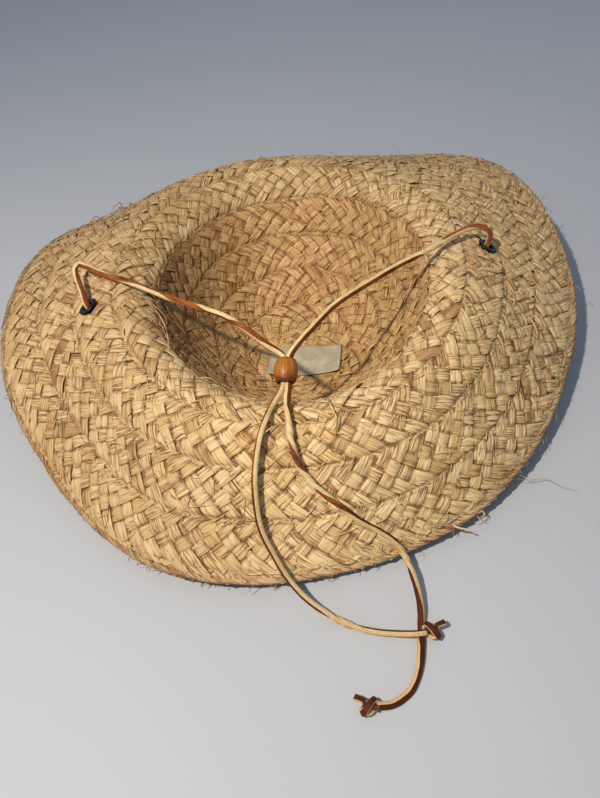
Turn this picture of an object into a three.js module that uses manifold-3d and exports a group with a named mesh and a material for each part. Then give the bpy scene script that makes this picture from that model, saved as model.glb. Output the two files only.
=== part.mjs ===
// Wide plaited straw hat, lying upside down on its crown, with a leather lace.
// The lace runs round the crown, comes up through two eyelets in the brim,
// passes through one wooden bead and ends in two knotted free ends.
// Millimetres, +Z up, the table is z = 0, the wearer's left is -X, the near side is -Y.
import * as THREE from "three";
import Module from "manifold-3d";
import { mergeVertices } from "three/addons/utils/BufferGeometryUtils.js";

const wasm = await Module();
wasm.setup();

// Driving sizes of the hat

const WALL = 3;
const HEAD_HALF_WIDTH = 82;
const HEAD_HALF_LENGTH = 98.5;
const SIDE_TILT = 2.7;
const SADDLE = 5;
const HEAD_LINE_ANGLE = 53;
const EDGE_CURL_DEGREES = 4.5;
const CURL_RUN = 80;
const DROOP_RUN = 12;
const JOIN_GAP = 0.4;

// Brim rows of plait, measured along the brim from the head line
const PLAIT_WIDTH = 26;
const BRIM_ROWS = 4;
const BRIM_RUN = PLAIT_WIDTH * BRIM_ROWS;
const EDGE_PLAIT_WIDTH = 6;

// Thirty degrees apart, from the wearer's right round by the far side:
// how far the ridge lies from the head line, how steeply the brim falls
// past it, and how far the plait is stretched there.
const BRIM_DIRECTIONS = [
  { ridgeRun: 16, fall: 27, stretch: 1.04 },
  { ridgeRun: 21, fall: 11.5, stretch: 1.02 },
  { ridgeRun: 24.5, fall: 23.5, stretch: 1.02 },
  { ridgeRun: 33.5, fall: 38, stretch: 1.02 },
  { ridgeRun: 36, fall: 38, stretch: 1.03 },
  { ridgeRun: 32.5, fall: 17, stretch: 1.05 },
  { ridgeRun: 28, fall: 22.5, stretch: 1.07 },
  { ridgeRun: 20.5, fall: 37.5, stretch: 1.04 },
  { ridgeRun: 22, fall: 39, stretch: 1.02 },
  { ridgeRun: 21, fall: 48.5, stretch: 0.95 },
  { ridgeRun: 19, fall: 46, stretch: 0.95 },
  { ridgeRun: 18.5, fall: 40.5, stretch: 0.97 },
];

// Slope of the bowl's wall, along it from the head line down to the flat tip
const BOWL_SLOPES = [
  { run: 0, slope: HEAD_LINE_ANGLE },
  { run: 26, slope: 50 },
  { run: 52, slope: 38.5 },
  { run: 78, slope: 23 },
  { run: 95, slope: 0 },
];

// Eyelets, bead, label and lace
const EYELET_RUN = 41;
const EYELET_LEFT_DIRECTION = 184.7;
const EYELET_RIGHT_DIRECTION = 355.5;
const EYELET_HOLE_RADIUS = 4.5;
const EYELET = { bore: 3.1, barrel: 4.1, flange: 6.2, washer: 5.6, top: 0.4, foot: 5, washerGap: 1 };
const EYELET_LIP = { height: 1.15, shoulder: 0.8, chamfer: 0.5, crest: 1.6, mouth: 0.5 };
const BEAD = { radius: 6.25, endRadius: 4.7, length: 13, bore: 3.4 };
const BEAD_CENTRE = [-11.9, -91.1, 70.2];
const BEAD_AXIS = [0.2, 0.88, 0.42];
const LABEL = { width: 47, depth: 27, thickness: 0.8, gap: 0.8, turn: -12.5 };
const LABEL_CENTRE = [1.8, -18.1];
const LACE_RADIUS = 1.4;
const LACE_SIDES = 8;
const LACE_WALL_GAP = 1.1;
const KNOT_RADIUS = 4.2;
const KNOT_TAIL = { length: 9, radius: 1.5 };
const KNOT_LEFT = { centre: [37.1, -210.1, 5.2], tail: [5.3, 2.6, 0.3] };
const KNOT_RIGHT = { centre: [-1.6, -237.9, 5], tail: [-6.6, 8.3, 0.2] };

// Mesh counts round each piece, and the step along the brim's slope
const AROUND = 60;
const AROUND_CROWN = 48;
const AROUND_EYELET = 20;
const AROUND_BEAD = 24;
const LABEL_STEPS = [8, 6];
const KNOT_STEPS = [14, 10];
const INTEGRATION_STEP = 1;

// Shift that puts the middle of the hat's own box at the origin
const HAT_PLACE = [1.92, -7.48, 0];

// The brim's shape

function radians(degrees) {
  return (degrees * Math.PI) / 180;
}

// Smooth closed curve through the table's values (Catmull-Rom)
function around(column, degrees) {
  const count = BRIM_DIRECTIONS.length;
  const place = ((((degrees % 360) + 360) % 360) / 360) * count;
  const cell = Math.floor(place);
  const t = place - cell;
  const value = (offset) => BRIM_DIRECTIONS[(cell + offset + count) % count][column];
  const before = value(-1);
  const start = value(0);
  const end = value(1);
  const after = value(2);
  return 0.5 * (2 * start + (end - before) * t
    + (2 * before - 5 * start + 4 * end - after) * t * t
    + (3 * start - before - 3 * end + after) * t * t * t);
}

function headLineHeight(degrees) {
  const angle = radians(degrees);
  return WALL + BOWL.depth + SIDE_TILT * Math.cos(angle) + SADDLE * Math.cos(2 * angle);
}

// Slope of the brim in degrees at a run from the head line: up the inner side,
// level on the ridge, then falling towards the edge.
function brimSlope(run, ridgeRun, fall) {
  if (run < ridgeRun) return HEAD_LINE_ANGLE * (1 - Math.pow(run / ridgeRun, 1.3));
  const past = run - ridgeRun;
  return -fall * (1 - Math.exp(-past / DROOP_RUN)) - (EDGE_CURL_DEGREES * past) / CURL_RUN;
}

// Point of the brim's upper surface, pushed along its normal by lift.
// run is counted in plait widths, before the stretch.
function brimPoint(degrees, run, lift = 0) {
  const angle = radians(degrees);
  const stretch = around("stretch", degrees);
  const ridgeRun = around("ridgeRun", degrees);
  const fall = around("fall", degrees);
  const outward = new THREE.Vector2(HEAD_HALF_LENGTH * Math.cos(angle), HEAD_HALF_WIDTH * Math.sin(angle));
  outward.normalize();
  const length = run * stretch;
  const steps = Math.max(1, Math.ceil(length / INTEGRATION_STEP));
  let reach = 0;
  let rise = 0;
  for (let i = 0; i < steps; i += 1) {
    const slope = radians(brimSlope(((i + 0.5) * length) / steps, ridgeRun, fall));
    reach += (Math.cos(slope) * length) / steps;
    rise += (Math.sin(slope) * length) / steps;
  }
  const end = radians(brimSlope(length, ridgeRun, fall));
  const out = reach - lift * Math.sin(end);
  return new THREE.Vector3(
    HEAD_HALF_WIDTH * Math.cos(angle) + outward.x * out,
    HEAD_HALF_LENGTH * Math.sin(angle) + outward.y * out,
    headLineHeight(degrees) + rise + lift * Math.cos(end),
  );
}

function brimNormal(degrees, run) {
  const small = 0.5;
  const along = brimPoint(degrees, run + small).sub(brimPoint(degrees, run - small));
  const round = brimPoint(degrees + small, run).sub(brimPoint(degrees - small, run));
  return along.cross(round).normalize();
}

// The bowl's shape: radius as a share of the head line, and depth below it

function bowlProfile() {
  const steps = 400;
  const last = BOWL_SLOPES[BOWL_SLOPES.length - 1].run;
  const rows = [{ run: 0, share: 1, drop: 0 }];
  for (let i = 0; i < steps; i += 1) {
    const run = ((i + 0.5) * last) / steps;
    const after = BOWL_SLOPES.findIndex((row) => row.run > run);
    const low = BOWL_SLOPES[after - 1];
    const high = BOWL_SLOPES[after];
    const slope = radians(low.slope + ((high.slope - low.slope) * (run - low.run)) / (high.run - low.run));
    const before = rows[rows.length - 1];
    rows.push({
      run: ((i + 1) * last) / steps,
      share: before.share - (Math.cos(slope) * last) / steps / HEAD_HALF_LENGTH,
      drop: before.drop + (Math.sin(slope) * last) / steps,
    });
  }
  return { rows, depth: rows[rows.length - 1].drop };
}

const BOWL = bowlProfile();

function bowlPoint(degrees, run) {
  const last = BOWL.rows.length - 1;
  const row = BOWL.rows[Math.min(last, Math.round((run / BOWL.rows[last].run) * last))];
  const angle = radians(degrees);
  const height = (headLineHeight(degrees) - WALL) * (1 - row.drop / BOWL.depth);
  return new THREE.Vector3(
    HEAD_HALF_WIDTH * Math.cos(angle) * row.share,
    HEAD_HALF_LENGTH * Math.sin(angle) * row.share,
    WALL + height,
  );
}

// Unit vector out of the bowl's wall, away from the head
function bowlOutward(degrees, run) {
  const flatFrom = BOWL_SLOPES[BOWL_SLOPES.length - 1].run;
  if (run >= flatFrom) return new THREE.Vector3(0, 0, -1);
  const small = 1;
  const below = bowlPoint(degrees, Math.min(run + small, flatFrom));
  const above = bowlPoint(degrees, Math.max(run - small, 0));
  const round = bowlPoint(degrees + small, run).sub(bowlPoint(degrees - small, run));
  return below.sub(above).cross(round).normalize();
}

// Mesh helpers

function closedFromRings(rings, closeEnds) {
  const count = rings[0].length;
  const positions = rings.flat().flatMap((point) => [point.x, point.y, point.z]);
  const index = [];
  const turns = closeEnds ? rings.length - 1 : rings.length;
  for (let i = 0; i < turns; i += 1) {
    const next = (i + 1) % rings.length;
    for (let j = 0; j < count; j += 1) {
      const a = i * count + j;
      const b = i * count + ((j + 1) % count);
      const c = next * count + j;
      const d = next * count + ((j + 1) % count);
      index.push(a, b, d, a, d, c);
    }
  }
  const geometry = new THREE.BufferGeometry();
  geometry.setAttribute("position", new THREE.Float32BufferAttribute(positions, 3));
  geometry.setIndex(index);
  return facingOut(geometry);
}

// Merges shared corners, drops empty triangles and turns the faces outwards
function facingOut(source) {
  const bare = new THREE.BufferGeometry();
  bare.setAttribute("position", source.getAttribute("position"));
  bare.setIndex(source.getIndex());
  const geometry = mergeVertices(bare, 1e-3);
  const position = geometry.getAttribute("position");
  const corners = geometry.getIndex().array;
  const kept = [];
  let volume = 0;
  const a = new THREE.Vector3();
  const b = new THREE.Vector3();
  const c = new THREE.Vector3();
  for (let i = 0; i < corners.length; i += 3) {
    const [p, q, r] = [corners[i], corners[i + 1], corners[i + 2]];
    if (p === q || q === r || r === p) continue;
    kept.push(p, q, r);
    a.fromBufferAttribute(position, p);
    b.fromBufferAttribute(position, q);
    c.fromBufferAttribute(position, r);
    volume += a.dot(b.cross(c));
  }
  if (volume < 0) kept.reverse();
  geometry.setIndex(kept);
  return geometry;
}

function solid(geometry) {
  const vertProperties = new Float32Array(geometry.getAttribute("position").array);
  const triVerts = new Uint32Array(geometry.getIndex().array);
  return new wasm.Manifold(new wasm.Mesh({ numProp: 3, vertProperties, triVerts }));
}

function geometryOf(manifold) {
  const mesh = manifold.getMesh();
  const geometry = new THREE.BufferGeometry();
  geometry.setAttribute("position", new THREE.Float32BufferAttribute(mesh.vertProperties, 3));
  geometry.setIndex([...mesh.triVerts]);
  return geometry;
}

function named(name, geometry, colour, roughness, metalness = 0) {
  const material = new THREE.MeshStandardMaterial({ color: colour, roughness, metalness });
  const mesh = new THREE.Mesh(geometry, material);
  mesh.name = name;
  return mesh;
}

function ring(count, pointAt) {
  return Array.from({ length: count }, (_, i) => pointAt((360 * i) / count));
}

// Crown: inner face from the head line to the flat tip, outer face back again

function crownGeometry() {
  const runs = [JOIN_GAP, 7, 14, 21, 28, 36, 44, 52, 60, 68, 76, 84, 95];
  const centre = new THREE.Vector3(0, 0, WALL);
  const inner = runs.map((run) => ring(AROUND_CROWN, (degrees) => bowlPoint(degrees, run)));
  const outer = runs.map((run) => ring(AROUND_CROWN, (degrees) =>
    bowlPoint(degrees, run).addScaledVector(bowlOutward(degrees, run), WALL)));
  const innerMiddle = ring(AROUND_CROWN, () => centre);
  const outerMiddle = ring(AROUND_CROWN, () => new THREE.Vector3(0, 0, 0));
  return closedFromRings([innerMiddle, ...inner.reverse(), ...outer, outerMiddle], true);
}

// Brim: upper face outwards, lower face back, with two holes for the eyelets

function eyeletFrame(direction) {
  const centre = brimPoint(direction, EYELET_RUN);
  const normal = brimNormal(direction, EYELET_RUN);
  const turn = new THREE.Quaternion().setFromUnitVectors(new THREE.Vector3(0, 1, 0), normal);
  return { centre, normal, turn };
}

function eyeletHole(direction) {
  const { centre, turn } = eyeletFrame(direction);
  const tool = new THREE.CylinderGeometry(EYELET_HOLE_RADIUS, EYELET_HOLE_RADIUS, 5 * WALL, AROUND_EYELET);
  tool.applyQuaternion(turn);
  tool.translate(centre.x, centre.y, centre.z);
  return solid(facingOut(tool));
}

function brimGeometry() {
  const runs = [JOIN_GAP, 7, 14, 21, 28, 36, 44, 54, 66, 78, 91, BRIM_RUN - JOIN_GAP];
  const upper = runs.map((run) => ring(AROUND, (degrees) => brimPoint(degrees, run)));
  const lower = runs.map((run) => ring(AROUND, (degrees) => brimPoint(degrees, run, -WALL)));
  let brim = solid(closedFromRings([...upper, ...lower.reverse()], false));
  brim = brim.subtract(eyeletHole(EYELET_LEFT_DIRECTION));
  brim = brim.subtract(eyeletHole(EYELET_RIGHT_DIRECTION));
  return geometryOf(brim);
}

// Narrow finishing plait with a rounded section round the outer edge

function brimEdgeGeometry() {
  const sides = 8;
  const halfWidth = EDGE_PLAIT_WIDTH / 2;
  const halfThickness = 0.65 * WALL;
  const middle = BRIM_RUN + halfWidth;
  const rings = Array.from({ length: sides }, (_, i) => {
    const angle = (2 * Math.PI * (i + 0.5)) / sides;
    const run = middle + (halfWidth / Math.cos(Math.PI / sides)) * Math.cos(angle);
    const lift = -WALL / 2 + halfThickness * Math.sin(angle);
    return ring(AROUND, (degrees) => brimPoint(degrees, run, lift));
  });
  return closedFromRings(rings, false);
}

// Metal eyelet: a barrel through the brim with a rolled flange and a washer

function eyeletGeometry(direction) {
  const { centre, turn } = eyeletFrame(direction);
  const underside = -WALL - EYELET.washerGap;
  const profile = [
    [EYELET.bore, -EYELET.foot],
    [EYELET.washer, -EYELET.foot],
    [EYELET.washer, underside],
    [EYELET.barrel, underside],
    [EYELET.barrel, EYELET.top],
    [EYELET.flange, EYELET.top],
    [EYELET.flange - EYELET_LIP.chamfer, EYELET.top + EYELET_LIP.shoulder],
    [EYELET.flange - EYELET_LIP.crest, EYELET.top + EYELET_LIP.height],
    [EYELET.bore + EYELET_LIP.chamfer, EYELET.top + EYELET_LIP.height],
    [EYELET.bore, EYELET.top + EYELET_LIP.mouth],
    [EYELET.bore, -EYELET.foot],
  ].map(([radius, height]) => new THREE.Vector2(radius, height));
  const geometry = new THREE.LatheGeometry(profile, AROUND_EYELET);
  geometry.applyQuaternion(turn);
  geometry.translate(centre.x, centre.y, centre.z);
  return facingOut(geometry);
}

// Height of the bowl's inner face over a place inside the head line
function bowlHeight(x, y) {
  const share = Math.hypot(x / HEAD_HALF_WIDTH, y / HEAD_HALF_LENGTH);
  const degrees = (Math.atan2(y / HEAD_HALF_LENGTH, x / HEAD_HALF_WIDTH) * 180) / Math.PI;
  const row = BOWL.rows.find((each) => each.share <= share) ?? BOWL.rows[BOWL.rows.length - 1];
  return WALL + (headLineHeight(degrees) - WALL) * (1 - row.drop / BOWL.depth);
}

// Label: a thin woven plate that follows the inside of the tip

function labelGeometry() {
  const geometry = new THREE.BoxGeometry(LABEL.width, LABEL.depth, LABEL.thickness, ...LABEL_STEPS, 1);
  geometry.rotateZ(radians(LABEL.turn));
  geometry.translate(...LABEL_CENTRE, LABEL.gap + LABEL.thickness / 2);
  const position = geometry.getAttribute("position");
  for (let i = 0; i < position.count; i += 1) {
    position.setZ(i, position.getZ(i) + bowlHeight(position.getX(i), position.getY(i)));
  }
  return facingOut(geometry);
}

// Bead: a barrel with one bore wide enough for both laces

function beadGeometry() {
  const half = BEAD.length / 2;
  const rows = 8;
  const profile = Array.from({ length: rows + 1 }, (_, i) => {
    const place = -1 + (2 * i) / rows;
    const radius = BEAD.radius - (BEAD.radius - BEAD.endRadius) * place * place;
    return new THREE.Vector2(radius, place * half);
  });
  profile.unshift(new THREE.Vector2(BEAD.bore, -half));
  profile.push(new THREE.Vector2(BEAD.bore, half));
  profile.push(new THREE.Vector2(BEAD.bore, -half));
  const geometry = new THREE.LatheGeometry(profile, AROUND_BEAD);
  const axis = new THREE.Vector3(...BEAD_AXIS).normalize();
  geometry.applyQuaternion(new THREE.Quaternion().setFromUnitVectors(new THREE.Vector3(0, 1, 0), axis));
  geometry.translate(...BEAD_CENTRE);
  return facingOut(geometry);
}

// The lace's routes: left and right from the eyelet by the bead to the knot

const LACE_LEFT_ROUTE = [
  [-120.5, -10.6, 68.5],
  [-121.4, -9.6, 73],
  [-122.4, -4.5, 76.6],
  [-125.6, 6.9, 79.3],
  [-127.2, 14.5, 80.2],
  [-125.2, 18.4, 80.8],
  [-121, 15.4, 80.6],
  [-111.7, 7.7, 79.6],
  [-94.4, -3.8, 77.8],
  [-72.2, -23.7, 78],
  [-56.9, -35.7, 78],
  [-40.7, -48.5, 78],
  [-28.2, -63.6, 77.5],
  [-19.2, -75.5, 76],
  [-11.9, -83.6, 73.6],
  [-13.5, -90.7, 70.2],
  [-15.1, -97.8, 66.8],
  [-22.3, -110, 65.8],
  [-26, -118.6, 66.5],
  [-29.4, -125.3, 64.6],
  [-34.3, -137.2, 55.7],
  [-36.6, -147.1, 46.1],
  [-36.6, -158.5, 33.4],
  [-32.6, -167.6, 22.8],
  [-28, -175.6, 13.4],
  [-21, -184.8, 8],
  [-11.8, -193, 4.5],
  [-1.4, -200, 2.4],
  [9.2, -204.7, 1.9],
  [20, -208.2, 3.6],
  [27.5, -210.2, 6.4],
  [32.4, -210.3, 6],
];

const LACE_RIGHT_ROUTE = [
  [118.7, -10, 64.5],
  [120.8, -9.6, 69],
  [121.3, -8.2, 73],
  [117.5, -5.8, 76.6],
  [110.5, -6, 78],
  [99.9, -10.5, 78.6],
  [83.4, -20.5, 79],
  [63.7, -29.7, 79],
  [43.5, -41, 79],
  [19.5, -56.7, 79],
  [4.8, -71.1, 78],
  [-3.4, -78.4, 76],
  [-8.7, -84.4, 73.6],
  [-10.3, -91.5, 70.2],
  [-11.9, -98.6, 66.8],
  [-14.1, -108.3, 65],
  [-14.4, -116.2, 66.1],
  [-14.8, -122.6, 65.2],
  [-14.9, -131.7, 60.8],
  [-12.9, -140, 53.5],
  [-7.3, -147, 45.7],
  [0.7, -152.9, 38.2],
  [10.8, -159.5, 29.1],
  [20.7, -163.9, 21.9],
  [27.4, -167.8, 16.1],
  [31, -173, 10.8],
  [32.7, -181.5, 8.5],
  [33.4, -190.8, 6],
  [32.9, -198.8, 4],
  [30.2, -209.2, 2.2],
  [28, -217.8, 2.2],
  [25, -225.9, 2],
  [20, -233.3, 1.8],
  [15.6, -236.4, 1.8],
  [9.7, -238.6, 2.4],
  [3.2, -238.7, 3.8],
];

// The held stretch: down out of each eyelet, in under the ridge, and round
// the far side of the crown just below the head line.
const HELD_WALL_RUN = 8;
const HELD_WALL_DIRECTIONS = [163, 148, 132, 116, 100, 84, 68, 52, 36, 20, 8];
const HELD_LEFT_END = [
  [-120.2, -10.5, 67.7],
  [-119, -10.2, 63.6],
  [-109, -5, 57],
  [-97, 5, 52],
];
const HELD_RIGHT_END = [
  [100, -5, 56],
  [110, -8, 58.5],
  [116.6, -9.6, 60.4],
  [118.3, -9.9, 63.7],
];

function heldRoute() {
  const away = WALL + LACE_RADIUS + LACE_WALL_GAP;
  const wall = HELD_WALL_DIRECTIONS.map((degrees) =>
    bowlPoint(degrees, HELD_WALL_RUN).addScaledVector(bowlOutward(degrees, HELD_WALL_RUN), away).toArray());
  return [...HELD_LEFT_END, ...wall, ...HELD_RIGHT_END];
}

// A curve that is sampled at the route's own points, so each bend is kept
class RouteCurve extends THREE.CatmullRomCurve3 {
  getPointAt(share, target) {
    return this.getPoint(share, target);
  }

  getTangentAt(share, target) {
    return this.getTangent(share, target);
  }
}

function laceGeometry(route) {
  const section = new THREE.Shape(Array.from({ length: LACE_SIDES }, (_, i) => {
    const angle = (2 * Math.PI * i) / LACE_SIDES;
    return new THREE.Vector2(LACE_RADIUS * Math.cos(angle), LACE_RADIUS * Math.sin(angle));
  }));
  const path = new RouteCurve(route.map((point) => new THREE.Vector3(...point)), false, "centripetal");
  return facingOut(new THREE.ExtrudeGeometry(section, {
    steps: route.length - 1,
    extrudePath: path,
    bevelEnabled: false,
  }));
}

// Knot: the outer shape of an overhand knot, with the cut tail of the lace

function knotGeometry(knotPlace) {
  const ball = new THREE.SphereGeometry(KNOT_RADIUS, ...KNOT_STEPS);
  const direction = new THREE.Vector3(...knotPlace.tail).normalize();
  const { length, radius } = KNOT_TAIL;
  const tail = new THREE.CylinderGeometry(radius, radius, length, LACE_SIDES);
  tail.translate(0, length / 2, 0);
  tail.applyQuaternion(new THREE.Quaternion().setFromUnitVectors(new THREE.Vector3(0, 1, 0), direction));
  const knot = geometryOf(solid(facingOut(ball)).add(solid(facingOut(tail))));
  knot.translate(...knotPlace.centre);
  return knot;
}

// Assembly

const STRAW = 0xd9b98a;
const LEATHER = 0xc98b4f;
const hat = new THREE.Group();
hat.position.set(...HAT_PLACE);
hat.add(named("crown", crownGeometry(), 0xcfa873, 0.85));
hat.add(named("brim", brimGeometry(), STRAW, 0.85));
hat.add(named("brim_edge", brimEdgeGeometry(), 0xd2ae7c, 0.85));
hat.add(named("eyelet_left", eyeletGeometry(EYELET_LEFT_DIRECTION), 0x1c1c1e, 0.35, 0.8));
hat.add(named("eyelet_right", eyeletGeometry(EYELET_RIGHT_DIRECTION), 0x1c1c1e, 0.35, 0.8));
hat.add(named("label", labelGeometry(), 0xd8d6c4, 0.8));
hat.add(named("bead", beadGeometry(), 0xb8702a, 0.3));
hat.add(named("lace_left", laceGeometry(LACE_LEFT_ROUTE), LEATHER, 0.7));
hat.add(named("lace_right", laceGeometry(LACE_RIGHT_ROUTE), LEATHER, 0.7));
hat.add(named("lace_round_crown", laceGeometry(heldRoute()), LEATHER, 0.7));
hat.add(named("knot_left", knotGeometry(KNOT_LEFT), LEATHER, 0.7));
hat.add(named("knot_right", knotGeometry(KNOT_RIGHT), LEATHER, 0.7));

const object = new THREE.Group();
object.add(hat);

export default object;
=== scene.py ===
import math

import bmesh
import bpy
import numpy as np
from mathutils import Matrix, Vector


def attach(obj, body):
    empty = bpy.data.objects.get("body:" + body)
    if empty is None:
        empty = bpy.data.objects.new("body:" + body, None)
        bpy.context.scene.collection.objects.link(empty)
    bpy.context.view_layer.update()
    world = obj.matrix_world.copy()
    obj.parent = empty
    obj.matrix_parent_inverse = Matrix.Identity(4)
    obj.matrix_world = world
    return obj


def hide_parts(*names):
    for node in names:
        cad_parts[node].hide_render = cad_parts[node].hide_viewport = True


# A wide plaited straw hat, upside down on a pale floor. Lengths are in millimetres until a mesh is made.
MM = 0.001
SEED = 11

# The hat's shape, the same as the CAD model's
HAT_PLACE = np.array([1.92, -7.48, 0.0])
WALL = 3.0
HEAD_HALF_WIDTH = 82.0
HEAD_HALF_LENGTH = 98.5
SIDE_TILT = 2.7
SADDLE = 5.0
HEAD_LINE_ANGLE = 53.0
EDGE_CURL_DEGREES = 4.5
CURL_RUN = 80.0
DROOP_RUN = 12.0
BRIM_RUN = 104.0
EDGE_WIDTH = 6.5
LOWEST = 0.05

# Every thirty degrees, from the wearer's right round by the far side
RIDGE_RUN = [16, 21, 24.5, 33.5, 36, 32.5, 28, 20.5, 22, 21, 19, 18.5]
FALL_DEGREES = [27, 11.5, 23.5, 38, 38, 17, 22.5, 37.5, 39, 48.5, 46, 40.5]
STRETCH = [1.04, 1.02, 1.02, 1.02, 1.03, 1.05, 1.07, 1.04, 1.02, 0.95, 0.95, 0.97]

# Slope of the bowl along its wall, from the head line to the flat tip
BOWL_RUNS = [0, 26, 52, 78, 95]
BOWL_DEGREES = [HEAD_LINE_ANGLE, 50, 38.5, 23, 0]

# Where rows of plait are sewn together, along the brim and down the bowl
BRIM_SEAMS = [0, 26, 52, 78, 104]
CROWN_SEAMS = [0, 26, 52, 78, 104]
SEAM_WOBBLE = 1.0

# The plait: five flat strands, each over one and under one
STRANDS = 5
STRAND_HALF_WIDTH = 4.0
STRAND_HALF_THICKNESS = 0.7
CROSSING_HEIGHT = 0.8
SEAM_OVERLAP = 1.3
SEAM_VALLEY = 0.55
EDGE_OVERLAP = 3.6
EDGE_DROP = 0.35
STRAND_STOPS = (-0.25, *(k + part for k in range(STRANDS) for part in (0, 0.3, 0.5, 0.7)),
                STRANDS, STRANDS + 0.25)
SEAM_REACH = 1.9
TAPER_LENGTH = 4.5
TAPER_TO = 0.55
THIN_LENGTH = 1.5
SQUARE_CUT_LENGTH = 1.2
GROOVES = 4

# How the plait's strands differ by chance: in millimetres, or as shares where two limits are given
OVERLAP_SPREAD = (0.3, 2.1)
START_SPREAD = 0.5
LEAN_SPREAD = 0.035
BOW_SPREAD = 0.6
SWAY_SPREAD = 0.25
RISE_SPREAD = (0.8, 1.25)
WIDTH_SPREAD = (0.86, 1.09)
SWELL = 0.08
HEIGHT_SPREAD = 0.1
ROLL_SPREAD = 0.07
TWIST_SPREAD = 0.05

# The narrow finish wound round the brim's outer edge
WRAP_SPACING = 4.6
WRAP_ADVANCE = 26.0
WRAP_HALF_REACH = 1.35
WRAP_HALF_HEIGHT = 0.8
WRAP_HALF_WIDTH = 1.4
WRAP_HALF_THICKNESS = 0.4
WRAP_TURN = 200
WRAP_SAMPLES = 12
EDGE_INSET = 0.9
EDGE_MIDDLE_RUN = BRIM_RUN + EDGE_WIDTH - EDGE_INSET - WRAP_HALF_REACH

# Loose fibres: how many, and the shares that lie by a seam, arch up or end free of the plait
BRIM_FIBRES = 1500
CROWN_FIBRES = 420
EDGE_HAIRS = 560
NEAR_SEAM_SHARE = 0.55
SPRUNG_SHARE = 0.07
FREE_END_SHARE = 0.22

# How far from the hat's middle the straw's darkening is full; on the bowl's left wall it is painted shade
DARKEN_SIDES = 110.0
DARKEN_FAR = 130.0
DARKEN_BOWL = 75.0

# Eyelets, bead, label and lace
EYELET_RUN = 41.0
EYELET_DIRECTIONS = {"eyelet_left": 184.7, "eyelet_right": 355.5}
EYELET_LEAN = {"eyelet_left": np.array([-0.1, 0.2, -0.1]), "eyelet_right": np.array([0.1, 0.1, 0.0])}
EYELET_BORE = 3.1
EYELET_FLANGE = 6.2
EYELET_TOP = 0.4
EYELET_FOOT = 5.0
HOLE_MARGIN = 1.4
HOLE_DEPTH = 12.0
BEAD_RADIUS = 6.25
BEAD_END_RADIUS = 4.7
BEAD_LENGTH = 13.0
BEAD_BORE = 3.4
BEAD_CENTRE = [-11.9, -91.1, 70.2]
BEAD_AXIS = [0.2, 0.88, 0.42]
LABEL_WIDTH = 47.0
LABEL_DEPTH = 27.0
LABEL_THICKNESS = 0.6
LABEL_CENTRE = [1.8, -18.1]
LABEL_TURN = -12.5
LABEL_LIFT = 1.1
LACE_WIDTH = 3.2
LACE_THICKNESS = 2.4
LACE_WALL_GAP = 1.1
LACE_RADIUS = 1.4
LACE_STEP = 1.2
HELD_STEP = 2.0
KNOT_STEP = 0.4
WORN_ALONG = (248.0, 272.0)
KNOT_LEFT = [35.2, -210.1, 4.2]
KNOT_LEFT_AXIS = [1.0, 0.05, 0]
KNOT_RIGHT = [-0.4, -238.4, 3.8]
KNOT_RIGHT_AXIS = [-0.92, 0.38, 0]

# One tight overhand knot: distances along its axis, to its tail's side and up
KNOT_TURNS = [
    [-3.6, 0, 0.7], [-0.6, -0.2, 0.3], [1.6, -1.2, -0.2], [1.2, -2.9, -1.3], [-0.8, -1.8, -2.1],
    [-2.4, 1.3, -1.9], [-2.9, 3.1, -0.6], [-1.7, 3.1, 1.5], [0, 0, 2.6], [1.5, -2.9, 1.5], [2.5, -3.2, -0.6],
    [3.0, -1.2, -1.5], [1.8, 0.7, 0.4], [2.8, 1.4, 1.3], [4.8, 1.9, 1.2], [7.0, 2.4, 0.8],
]

LACE_LEFT_ROUTE = [
    [-120.5, -10.6, 68.5], [-121.4, -9.6, 73], [-122.4, -4.5, 76.6], [-125.6, 6.9, 79.3],
    [-127.2, 14.5, 80.2], [-125.2, 18.4, 80.8], [-121, 15.4, 80.6], [-111.7, 7.7, 79.6],
    [-94.4, -3.8, 77.8], [-72.2, -23.7, 78], [-56.9, -35.7, 78], [-40.7, -48.5, 78],
    [-28.2, -63.6, 77.5], [-19.2, -75.5, 76], [-11.9, -83.6, 73.6], [-13.5, -90.7, 70.2],
    [-15.1, -97.8, 66.8], [-22.3, -110, 65.8], [-26, -118.6, 66.5], [-29.4, -125.3, 64.6],
    [-34.3, -137.2, 55.7], [-36.6, -147.1, 46.1], [-36.6, -158.5, 33.4], [-32.6, -167.6, 22.8],
    [-28, -175.6, 13.4], [-21, -184.8, 8], [-11.8, -193, 4.5], [-1.4, -200, 2.4],
    [9.2, -204.7, 1.9], [20, -208.2, 3.2], [27.5, -210.2, 4.8], [32.4, -210.3, 4.4],
]
LACE_RIGHT_ROUTE = [
    [118.7, -10, 64.5], [120.8, -9.6, 69], [121.3, -8.2, 73], [117.5, -5.8, 76.6],
    [110.5, -6, 78], [99.9, -10.5, 78.6], [83.4, -20.5, 79], [63.7, -29.7, 79],
    [43.5, -41, 79], [19.5, -56.7, 79], [4.8, -71.1, 78], [-3.4, -78.4, 76],
    [-8.7, -84.4, 73.6], [-10.3, -91.5, 70.2], [-11.9, -98.6, 66.8], [-14.1, -108.3, 65],
    [-14.4, -116.2, 66.1], [-14.8, -122.6, 65.2], [-14.9, -131.7, 60.8], [-12.9, -140, 53.5],
    [-7.3, -147, 45.7], [0.7, -152.9, 38.2], [10.8, -159.5, 29.1], [20.7, -163.9, 21.9],
    [27.4, -167.8, 16.1], [31, -173, 10.8], [32.7, -181.5, 8.5], [33.4, -190.8, 6],
    [32.9, -198.8, 4], [30.2, -209.2, 2.2], [28, -217.8, 2.2], [25, -225.9, 2],
    [20, -233.3, 1.8], [15.6, -236.4, 1.8], [9.7, -238.6, 2.4], [3.2, -238.7, 3.8],
]
HELD_WALL_RUN = 8.0
HELD_WALL_DIRECTIONS = [163, 148, 132, 116, 100, 84, 68, 52, 36, 20, 8]
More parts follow.
